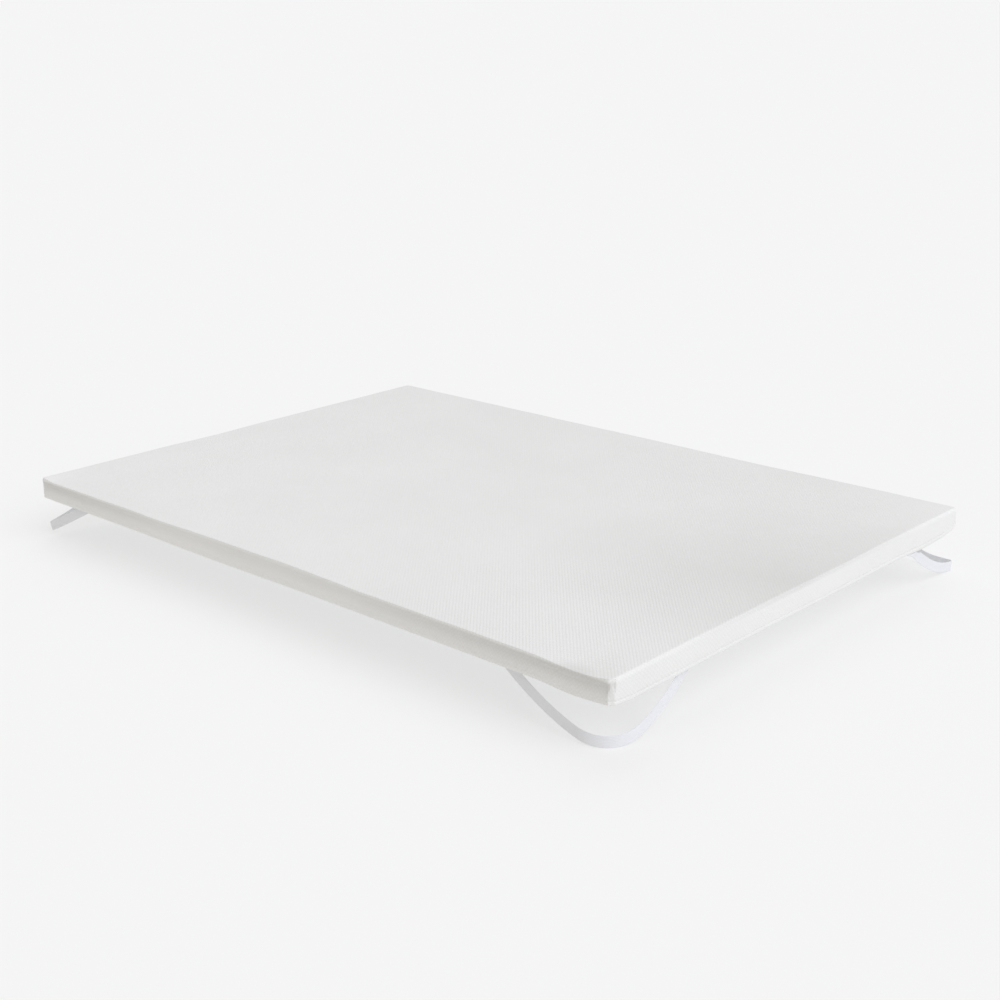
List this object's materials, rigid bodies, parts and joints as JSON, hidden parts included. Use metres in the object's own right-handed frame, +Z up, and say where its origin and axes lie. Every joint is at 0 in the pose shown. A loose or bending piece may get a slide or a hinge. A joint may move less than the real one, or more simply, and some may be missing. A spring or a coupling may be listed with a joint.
{
  "type": "mattress topper",
  "caption": "Thin rectangular filled pad in a knit cover, with a looped elastic strap hanging under each corner to hold it on a mattress.",
  "frame": {"origin": "on the floor under the middle of the pad, at the bottom centre of the whole object's box", "axes": "+X along the short side, +Y along the long side, +Z up through the pad's thickness"},
  "size_m": [1.4, 2, 0.172],
  "materials": {
    "knit_cover": "matt white stretch knit with a small raised dot",
    "elastic": "cool white woven elastic, slightly shiny"
  },
  "bodies": {
    "root": {"topper_pad": "knit_cover", "strap_near_left": "elastic", "strap_near_right": "elastic", "strap_far_right": "elastic", "strap_far_left": "elastic"}
  },
  "joints": []
}
